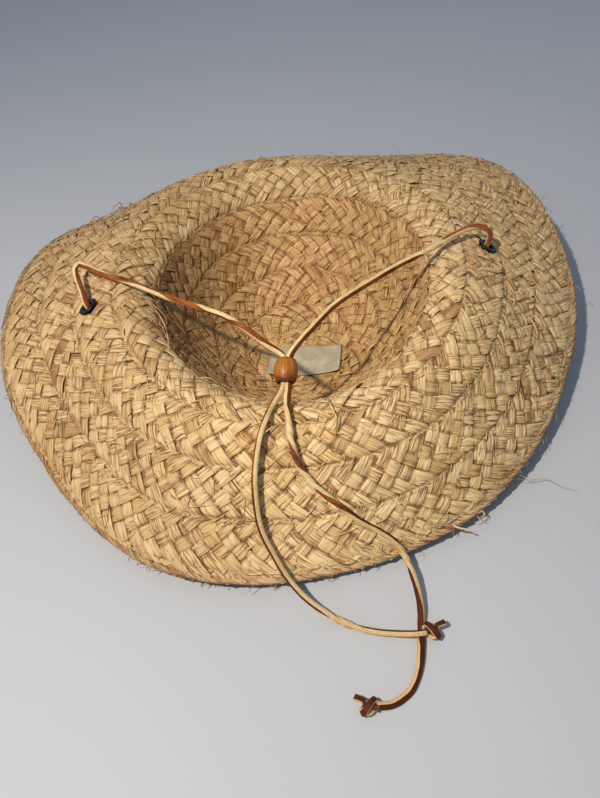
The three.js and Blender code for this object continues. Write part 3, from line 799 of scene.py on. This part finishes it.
def edge_wrap(name, material, slot):
    """The finish at the brim's edge: flat strands wound round it on a slant."""
    lengths = lengths_along(edge_frame(ROUND_HAT)[0])
    count = round(lengths[-1] / WRAP_SPACING)
    turn = np.radians(np.linspace(WRAP_TURN, -WRAP_TURN, WRAP_SAMPLES))[None, :]
    t = (np.arange(count) * lengths[-1] / count + random.normal(0, 0.6, count))[:, None]
    t = t + WRAP_ADVANCE * (1 - turn / np.radians(WRAP_TURN)) / 2
    centre, outward, upward = edge_frame(np.interp(np.mod(t, lengths[-1]), lengths, ROUND_HAT))
    outward = unit(outward)
    reach = WRAP_HALF_REACH * random.uniform(0.8, 1.2, (count, 1, 1))
    cos, sin = np.cos(turn)[..., None], np.sin(turn)[..., None]
    path = centre + reach * cos * outward + WRAP_HALF_HEIGHT * sin * upward
    normal = unit(cos / WRAP_HALF_REACH * outward + sin / WRAP_HALF_HEIGHT * upward)
    sideways = np.cross(unit(np.gradient(path, axis=1)), normal)
    x, side = section(7, 3)
    dips = grooves(x, np.broadcast_to(turn, t.shape) * 3, count)
    half = WRAP_HALF_WIDTH * random.uniform(0.6, 1.2, (count, 1, 1))
    thickness = WRAP_HALF_THICKNESS * (1 - 0.8 * dips) * (1 - np.abs(x) ** 3) ** 0.5 * side
    points = (path[:, :, None] + sideways[:, :, None] * (half * x)[..., None]
              + normal[:, :, None] * thickness[..., None])
    fibre, tint = strand_marks(half * x * np.ones_like(dips), (t - t[:, :1])[..., None] * 1.3)
    # A low value here gets painted shade: strand edges and grooves
    top = 0.95 - 0.5 * np.abs(x) ** 8 - 0.5 * dips
    return strand_piece(name, points, fibre, tint, top, material, slot)


def edge_core(name, material, slot):
    """The strand that the edge finish is wound on."""
    degrees = np.arange(0, 360, 2.0)
    centre, outward, upward = (part[:, None] for part in edge_frame(degrees))
    turn = np.radians(np.arange(0, 360, 36.0))[:, None]
    vertices = (centre + (WRAP_HALF_REACH - 0.5) * np.cos(turn) * outward
                + (WRAP_HALF_HEIGHT - 0.4) * np.sin(turn) * upward)
    faces = grid_faces(len(degrees), len(turn), closed_rows=True, closed_columns=True)
    return finish_piece(new_piece(name, vertices.reshape(-1, 3), faces, [material]), slot)


def thin_tubes(name, paths, radii, material, slot):
    """Many three-sided fibres along paths with shape (fibre, sample, 3)."""
    samples = paths.shape[1]
    tangent = unit(np.gradient(paths, axis=1))
    sideways = unit(np.cross(tangent, [0.13, 0.21, 0.97]))
    upward = np.cross(sideways, tangent)
    taper = np.sin(np.pi * np.linspace(0.06, 0.94, samples)) ** 0.5
    size = (radii[:, None] * taper)[..., None, None]
    ring = np.radians([90, 210, 330])[:, None]
    rim = np.cos(ring) * sideways[:, :, None] + np.sin(ring) * upward[:, :, None]
    points = paths[:, :, None] + size * rim
    shape = points.shape[:3]
    fibre, tint = strand_marks(np.zeros(shape), np.linspace(0, 20, samples)[None, :, None])
    return strand_piece(name, points, fibre, tint, np.full(shape, 0.9), material, slot)


def surface_fibres(name, kind, seams, count, material, slot):
    """Loose fibres that lie on the plait, roughly along its strands, some with an end free of it."""
    samples = 7
    heading = np.radians(random.choice([42, 138, -42, -138], count) + random.normal(0, 15, count))
    bend = np.radians(random.normal(0, 3.5, count))
    length = 3.5 + random.exponential(4.5, count).clip(0, 16)
    degrees = [random.uniform(0, 360, count)]
    at_seam = random.choice(seams, count) + random.normal(0, 2.5, count)
    anywhere = seams[-1] * random.uniform(0.02, 1, count) ** 0.6
    runs = [np.where(random.uniform(0, 1, count) < NEAR_SEAM_SHARE, at_seam, anywhere).clip(1, seams[-1] - 1)]
    for step in range(samples - 1):
        here, beside = (on_surface(kind, degrees[-1] + step_round, runs[-1], 0) for step_round in (0, 0.5))
        per_degree = np.maximum(np.linalg.norm(beside - here, axis=1) * 2, 0.15)
        way = heading + bend * step
        degrees.append(degrees[-1] + np.cos(way) * length / samples / per_degree)
        runs.append(np.clip(runs[-1] + np.sin(way) * length / samples, 0.5, seams[-1]))
    degrees, runs = np.array(degrees).T, np.array(runs).T
    share = np.linspace(0, 1, samples)
    sprung = random.uniform(0, 1, (count, 1)) < SPRUNG_SHARE
    sprung = np.where(sprung, random.uniform(1.2, 3.6, (count, 1)), 0)
    arch = np.sin(np.pi * share) * (random.uniform(0.05, 0.45, (count, 1)) + sprung)
    free_end = (random.uniform(0, 1, (count, 1)) < FREE_END_SHARE) * share ** 3
    free_end = free_end * random.uniform(0.3, 1.6, (count, 1))
    paths = on_surface(kind, degrees, runs, arch + free_end - 0.1)
    return thin_tubes(name, paths, random.uniform(0.15, 0.42, count), material, slot)


def loose_straws(name, material, slot):
    """The few single straws that have sprung out of the plait."""
    samples = 40
    paths = []
    for _, points in LOOSE_ON_BRIM:
        degrees, run, lift = np.array(points, float).T
        paths.append(on_surface("brim", degrees, run, lift))
    for _, points in LOOSE_PAST_EDGE:
        paths.append(np.array(points, float) + HAT_PLACE)
    lines = []
    for path in paths:
        line = smooth_route(path, 0.3)
        lines.append(line[np.linspace(0, len(line) - 1, samples).astype(int)])
    radii = np.array([radius for radius, _ in LOOSE_ON_BRIM + LOOSE_PAST_EDGE])
    return thin_tubes(name, np.array(lines), radii, material, slot)


def edge_hairs(name, count, material, slot):
    """Short frayed fibres that stick out from the brim's edge and hang under it."""
    samples = 8
    degrees = random.uniform(0, 360, count)
    run = BRIM_RUN + random.uniform(1, EDGE_WIDTH - 0.3, count)
    lift = random.uniform(-2.8, 0.1, count)
    base = on_surface("brim", degrees, run, lift)
    outward = on_surface("brim", degrees, run + 1, lift) - base
    along = unit(on_surface("brim", degrees + 1, run, lift) - base)
    upward = [[0, 0, 1.0]]
    lean = random.normal(0, 1.1, (count, 1))
    way = unit(outward + along * lean + random.normal(-0.15, 0.35, (count, 1)) * upward)
    curl = random.normal(0, 0.35, (count, 1)) * along + random.normal(0, 0.25, (count, 1)) * upward
    share = np.linspace(0, 1, samples)[None, :, None]
    length = (1.2 + random.exponential(1.5, count)).clip(1.2, 8)[:, None, None]
    paths = base[:, None] + way[:, None] * share * length + curl[:, None] * share ** 2 * length
    paths[..., 2] = np.maximum(paths[..., 2], 0.3)
    return thin_tubes(name, paths, random.uniform(0.12, 0.3, count), material, slot)


def plait_shade_sheet(name, kind, last_run, material, slot):
    """A dark sheet of painted shade in the hollow between the plait's two faces, which shows only through its
    small holes.
    """
    turns, runs = 120, 60
    degrees, run = np.meshgrid(np.arange(turns) * 360 / turns, np.linspace(0, last_run, runs), indexing="ij")
    vertices = on_surface(kind, degrees, run, -WALL / 2).reshape(-1, 3)
    faces = grid_faces(turns, runs, closed_rows=True)[:, [0, 3, 2, 1]]
    kept = clear_of_eyelets(vertices[faces].mean(axis=1))
    return finish_piece(new_piece(name, vertices, faces[kept], [material]), slot)


# Laces and knots

def smooth_route(route, step):
    """A centripetal Catmull-Rom line through the route's points, about step apart."""
    points = np.array(route, float)
    points = np.vstack([2 * points[0] - points[1], points, 2 * points[-1] - points[-2]])
    line = []
    for p in zip(points, points[1:], points[2:], points[3:]):
        k = np.concatenate([[0], np.cumsum([math.sqrt(np.linalg.norm(b - a)) for a, b in zip(p, p[1:])])])
        count = max(2, math.ceil(np.linalg.norm(p[2] - p[1]) / step))
        t = np.linspace(k[1], k[2], count, endpoint=False)[:, None]

        def between(low, high, first, second):
            return (k[high] - t) / (k[high] - k[low]) * first + (t - k[low]) / (k[high] - k[low]) * second

        a1, a2, a3 = (between(n, n + 1, p[n], p[n + 1]) for n in range(3))
        line.append(between(1, 2, between(0, 2, a1, a2), between(1, 3, a2, a3)))
    return np.vstack([*line, points[-2:-1]])


def strap_section(width, thickness):
    """A rectangle with small round corners, from the grain face on: its points, and which sides are grain."""
    corner = 0.3
    half, high = width / 2, thickness / 2
    grain = [(-half + corner * 0.4, high - corner * 0.4), (-half + corner, high), (-half * 0.4, high + 0.05),
             (half * 0.4, high + 0.05), (half - corner, high), (half - corner * 0.4, high - corner * 0.4)]
    rest = [(half, -high + corner), (half - corner, -high), (0, -high - 0.05), (-half + corner, -high),
            (-half, -high + corner)]
    points = np.array(grain + rest)
    is_grain = np.arange(len(points)) < len(grain) - 1
    return points, is_grain


def square_to(tangent, vectors):
    """The part of each vector that is square to the tangent."""
    return vectors - tangent * (tangent * vectors).sum(axis=1, keepdims=True)


def smoothed(values, count):
    """A running mean of count values, with the end values held."""
    return np.convolve(np.pad(values, count // 2, mode="edge"), np.ones(count) / count, mode="valid")


def strap_frames(line, rolls):
    """Side and upward vectors along a line, turned from SEEN_FROM by a table like LEFT_ROLL."""
    tangent = unit(np.gradient(line, axis=0))
    facing = unit(square_to(tangent, np.array(SEEN_FROM) - line))
    lengths = lengths_along(line)
    places, degrees = np.array(rolls).T
    angle = smoothed(np.radians(np.interp(lengths / lengths[-1], places, degrees)), 5)[:, None]
    up = facing * np.cos(angle) + np.cross(facing, tangent) * np.sin(angle)
    return np.cross(tangent, up), up, lengths


def strap(name, line, frames, materials, width=LACE_WIDTH, thickness=LACE_THICKNESS, marks_from=0.0):
    """A flat leather lace along a line, brown on its grain face and cream on its other three."""
    side, up, lengths = frames
    points, is_grain = strap_section(width, thickness)
    count = len(points)
    wander = 1 + 0.05 * np.sin(lengths * 0.31) + 0.04 * np.sin(lengths * 0.83 + 1)
    vertices = (line[:, None] + side[:, None] * points[None, :, :1] * wander[:, None, None]
                + up[:, None] * points[None, :, 1:])
    faces, _, corners = ring_faces(1, len(line), count)
    piece = new_piece(name, vertices.reshape(-1, 3), faces, materials)
    slots = np.where(is_grain[corners[:, 0, 1]], 0, 1).astype(np.int32)
    piece.data.polygons.foreach_set("material_index", slots)
    close_ends(piece, len(line), count)
    fibre = np.stack(np.broadcast_arrays(points[:, 0], lengths[:, None] + marks_from, points[:, 1]), axis=-1)
    add_attribute(piece, "fibre", fibre.reshape(-1, 3))
    return piece


def close_ends(piece, rings, count):
    """Caps the first and last ring of a swept mesh."""
    shape = bmesh.new()
    shape.from_mesh(piece.data)
    shape.verts.ensure_lookup_table()
    for ring in (range(count - 1, -1, -1), range((rings - 1) * count, rings * count)):
        face = shape.faces.new([shape.verts[i] for i in ring])
        face.material_index = len(piece.data.materials) - 1
    shape.to_mesh(piece.data)
    shape.free()


def held_route():
    """Down out of each eyelet and round the far side of the crown, just below the head line."""
    turns = np.array(HELD_WALL_DIRECTIONS, float)
    away = -(WALL + LACE_RADIUS + LACE_WALL_GAP)
    wall = on_surface("crown", turns, HELD_WALL_RUN, away) - HAT_PLACE
    return [*HELD_LEFT_END, *wall.tolist(), *HELD_RIGHT_END]


def knot_line(centre, axis, tail_side):
    """An overhand knot pulled tight, from the lace to its cut end, which leaves on tail_side of the axis."""
    axis = unit(np.array(axis, float))
    side = np.cross([0, 0, 1.0], axis) * tail_side
    turns = np.array(KNOT_TURNS, float)
    turns = turns[:, :1] * axis + turns[:, 1:2] * side + turns[:, 2:] * [0, 0, 1.0]
    return smooth_route(turns + np.array(centre) + HAT_PLACE, KNOT_STEP)


def knot_frames(line, centre):
    """Side and upward vectors that turn the grain face away from the knot's middle."""
    tangent = unit(np.gradient(line, axis=0))
    up = square_to(tangent, line - np.array(centre) - HAT_PLACE + [0, 0, 0.8])
    up = np.stack([smoothed(part, 7) for part in up.T], axis=1)
    up = unit(square_to(tangent, up))
    return np.cross(tangent, up), up, lengths_along(line)


# Turned pieces

def lathe(name, profile, turns, centre, axis, material):
    """A profile of (radius, height) turned round an axis. It closes on itself."""
    turn = Vector((0, 0, 1)).rotation_difference(Vector(axis).normalized()).to_matrix()
    angles = np.arange(turns) * 2 * np.pi / turns
    radius, height = np.array(profile, float).T
    rings = np.broadcast_arrays(np.outer(np.cos(angles), radius), np.outer(np.sin(angles), radius), height)
    local = np.stack(rings, axis=-1).reshape(-1, 3)
    vertices = local @ np.array(turn).T + np.array(centre)
    faces = grid_faces(turns, len(height), closed_rows=True, closed_columns=True)
    piece = new_piece(name, vertices, faces, [material])
    add_attribute(piece, "fibre", local[:, [0, 2, 1]])
    return piece


def bead_piece(material):
    rows = 28
    place = np.linspace(-1, 1, rows)
    round_end = 0.9
    shell = BEAD_RADIUS - (BEAD_RADIUS - BEAD_END_RADIUS) * place ** 2
    shell = shell - 0.45 * np.clip((np.abs(place) - round_end) / (1 - round_end), 0, 1) ** 2
    outside = np.stack([shell, place * BEAD_LENGTH / 2], axis=1)
    lip = BEAD_LENGTH / 2
    inside = [(BEAD_BORE + 0.4, lip), (BEAD_BORE, lip - 0.5), (BEAD_BORE, 0.5 - lip), (BEAD_BORE + 0.4, -lip)]
    centre = np.array(BEAD_CENTRE) + HAT_PLACE
    return finish_piece(lathe("wooden_bead", np.vstack([outside, inside]), 64, centre, BEAD_AXIS, material),
                        "bead_wood", "bead")


def eyelet_piece(node, material):
    centre, normal = eyelet_axis(EYELET_DIRECTIONS[node])
    normal = normal + EYELET_LEAN[node]
    top = EYELET_TOP
    roll = [(EYELET_FLANGE - 0.75 + 0.75 * math.cos(a), top + 0.1 + 0.75 * math.sin(a))
            for a in np.linspace(-0.3, 1.8, 6)]
    mouth = [(EYELET_BORE + 0.9 - 0.9 * math.sin(a), top - 0.1 + 0.95 * math.cos(a))
             for a in np.linspace(0, 1.57, 6)]
    profile = [(EYELET_BORE, -EYELET_FOOT), (EYELET_FLANGE - 0.6, -EYELET_FOOT),
               (EYELET_FLANGE - 0.6, -WALL - 1), (EYELET_BORE + 1, -WALL - 1), (EYELET_BORE + 1, top - 0.1),
               *roll, *mouth]
    return finish_piece(lathe(node + "_ring", profile, 48, centre, normal, material), "eyelet_metal", node)


def label_piece(material):
    """A thin woven label that follows the inside of the tip, with slightly lifted ends."""
    across, down = 48, 28
    u, v = np.meshgrid(np.linspace(-1, 1, across), np.linspace(-1, 1, down), indexing="ij")
    turn = math.radians(LABEL_TURN)
    x = LABEL_WIDTH / 2 * u * (1 - 0.015 * v ** 2)
    y = LABEL_DEPTH / 2 * v * (1 - 0.02 * u ** 2)
    flat_x = LABEL_CENTRE[0] + x * math.cos(turn) - y * math.sin(turn)
    flat_y = LABEL_CENTRE[1] + x * math.sin(turn) + y * math.cos(turn)
    share = np.hypot(flat_x / HEAD_HALF_WIDTH, flat_y / HEAD_HALF_LENGTH)
    degrees = np.degrees(np.arctan2(flat_y / HEAD_HALF_LENGTH, flat_x / HEAD_HALF_WIDTH))
    drop = np.interp(share, BOWL_SHARE[::-1], BOWL_DROP[::-1])
    ripple = 0.35 * np.sin(3.1 * u + 0.8 * v) + 0.25 * np.sin(5 * v + 2 * u) + 0.5 * np.abs(u) ** 6
    z = bowl_height(degrees, drop) + LABEL_LIFT + ripple
    upper = np.stack([flat_x, flat_y, z], axis=-1).reshape(-1, 3) + HAT_PLACE
    vertices = np.vstack([upper, upper - [0, 0, LABEL_THICKNESS]])
    top = grid_faces(across, down)
    grid = np.arange(across * down).reshape(across, down)
    rim = np.concatenate([grid[0], grid[1:, -1], grid[-1, -2::-1], grid[-2:0:-1, 0]])
    following = np.roll(rim, -1)
    shift = len(upper)
    wall = np.stack([rim, following, following + shift, rim + shift], axis=1)
    piece = new_piece("bare_label", vertices, np.vstack([top, top[:, ::-1] + shift, wall]), [material])
    flat = np.stack([x, y, np.zeros_like(x)], axis=-1).reshape(-1, 3)
    add_attribute(piece, "fibre", np.vstack([flat, flat]))
    return finish_piece(piece, "label_cloth", "label")


# Stage, light and camera

def floor_piece(material):
    side = 3000.0
    floor = new_piece("pale_floor", [(-side, -side, 0), (side, -side, 0), (side, side, 0), (-side, side, 0)],
                      [[0, 1, 2, 3]], [material], smooth=False)


def lights():
    lamp = bpy.data.lights.new("key", "AREA")
    lamp.shape = "DISK"
    lamp.size = KEY_SIZE
    lamp.energy = KEY_WATTS
    lamp.color = KEY_COLOUR
    key = bpy.data.objects.new("key", lamp)
    towards = Vector(KEY_DIRECTION).normalized()
    key.location = towards * KEY_DISTANCE
    key.rotation_mode = "QUATERNION"
    key.rotation_quaternion = towards.to_track_quat("Z", "Y")
    bpy.context.scene.collection.objects.link(key)
    world = bpy.data.worlds.new("soft_sky")
    world.use_nodes = True
    background = world.node_tree.nodes["Background"]
    background.inputs["Color"].default_value = (*SKY_COLOUR, 1)
    background.inputs["Strength"].default_value = SKY_STRENGTH
    bpy.context.scene.world = world


def camera():
    azimuth, elevation, roll = (math.radians(a) for a in (CAMERA_AZIMUTH, CAMERA_ELEVATION, CAMERA_ROLL))
    forward = Vector((math.sin(azimuth) * math.cos(elevation), math.cos(azimuth) * math.cos(elevation),
                      -math.sin(elevation)))
    level = Vector((math.cos(azimuth), -math.sin(azimuth), 0))
    upright = level.cross(forward)
    right = level * math.cos(roll) + upright * math.sin(roll)
    up = upright * math.cos(roll) - level * math.sin(roll)
    target = Vector(CAMERA_TARGET) + Vector(HAT_PLACE)
    place = (target - forward * CAMERA_DISTANCE) * MM
    data = bpy.data.cameras.new("photo_camera")
    data.sensor_width = 36.0
    data.lens = CAMERA_LENS
    data.clip_start = 0.01
    data.clip_end = 20.0
    seen_from = bpy.data.objects.new("photo_camera", data)
    seen_from.matrix_world = Matrix.Translation(place) @ Matrix((right, up, -forward)).transposed().to_4x4()
    bpy.context.scene.collection.objects.link(seen_from)
    bpy.context.scene.camera = seen_from
    bpy.context.scene.view_settings.view_transform = "Standard"


def build_cords(grain, flesh):
    """The lace's two free ends with the bead and the knots, and the stretch that the hat holds."""
    materials = [grain, flesh]
    left_line = smooth_route(LACE_LEFT_ROUTE, LACE_STEP) + HAT_PLACE
    right_line = smooth_route(LACE_RIGHT_ROUTE, LACE_STEP) + HAT_PLACE
    held_line = smooth_route(held_route(), HELD_STEP) + HAT_PLACE
    for node, line, rolls in (("lace_left", left_line, LEFT_ROLL), ("lace_right", right_line, RIGHT_ROLL),
                              ("lace_round_crown", held_line, HELD_ROLL)):
        piece = strap(node + "_strap", line, strap_frames(line, rolls), materials)
        finish_piece(piece, "lace_leather", node)
    for node, centre, axis, tail_side in (("knot_left", KNOT_LEFT, KNOT_LEFT_AXIS, 1),
                                          ("knot_right", KNOT_RIGHT, KNOT_RIGHT_AXIS, -1)):
        line = knot_line(centre, axis, tail_side)
        piece = strap(node + "_wraps", line, knot_frames(line, centre), materials, KNOT_STRAP_WIDTH,
                      KNOT_STRAP_THICKNESS, KNOT_MARKS_FROM)
        finish_piece(piece, "lace_leather", node)
    bead = bead_piece(wood_material())


def build_straw():
    pale, middle, warm = (0.83, 0.61, 0.315), (0.7, 0.475, 0.21), (0.42, 0.21, 0.08)
    brim_straw = straw_material("brim_raffia", pale, middle, warm, (0.22, 0.105, 0.036))
    crown_straw = straw_material("crown_raffia", (0.71, 0.465, 0.205), (0.61, 0.37, 0.145),
                                 (0.4, 0.19, 0.062), (0.2, 0.092, 0.03))
    edge_straw = straw_material("edge_raffia", (0.68, 0.48, 0.25), (0.5, 0.31, 0.15), (0.34, 0.15, 0.07),
                                (0.2, 0.1, 0.04))
    frayed = straw_material("frayed_raffia", (0.6, 0.38, 0.2), (0.45, 0.24, 0.12), (0.34, 0.13, 0.07),
                            (0.2, 0.1, 0.05))
    # A dark sheet of painted shade, seen through the plait's holes
    core, _ = new_material("plait_shade_sheet", 0.9, Base_Color=(0.24, 0.125, 0.05, 1))
    edge_filling, _ = new_material("edge_core", 0.85, Base_Color=(0.3, 0.16, 0.07, 1))
    for number, (inner, outer) in enumerate(zip(BRIM_SEAMS, BRIM_SEAMS[1:]), 1):
        piece = plait_row(f"brim_plait_{number}", "brim", outer, inner, brim_straw, "brim_straw")
    for number, (outer, inner) in enumerate(zip(CROWN_SEAMS, CROWN_SEAMS[1:]), 1):
        piece = plait_row(f"crown_plait_{number}", "crown", outer, inner, crown_straw, "crown_straw")
    plait_row("crown_plait_middle", "crown", CROWN_SEAMS[-1], BOWL_RUN[-1] - 0.5, crown_straw, "crown_straw",
              scale=0.6)
    edge = edge_wrap("brim_edge_wrap", edge_straw, "edge_straw")
    edge_core("brim_edge_core", edge_filling, "edge_straw")
    plait_shade_sheet("brim_shade_sheet", "brim", BRIM_RUN - 1, core, "brim_straw")
    plait_shade_sheet("crown_shade_sheet", "crown", BOWL_RUN[-1] - 1, core, "crown_straw")
    surface_fibres("brim_loose_fibres", "brim", BRIM_SEAMS, BRIM_FIBRES, brim_straw, "brim_straw")
    surface_fibres("crown_loose_fibres", "crown", CROWN_SEAMS[:4], CROWN_FIBRES, crown_straw, "crown_straw")
    edge_hairs("brim_edge_hairs", EDGE_HAIRS, frayed, "edge_straw")
    loose_straws("brim_loose_straws", brim_straw, "brim_straw")
    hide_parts("brim")
    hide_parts("crown")
    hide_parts("brim_edge")


camera()
grain = leather_material("lace_grain", (0.34, 0.1, 0.022), (0.08, 0.017, 0.005), 0.5)
flesh = leather_material("lace_flesh", (0.75, 0.56, 0.29), (0.6, 0.41, 0.19), 0.75)
build_cords(grain, flesh)
build_straw()
metal = metal_material()
for node in EYELET_DIRECTIONS:
    eyelet_piece(node, metal)
label = label_piece(label_material())
floor_piece(floor_material())
lights()
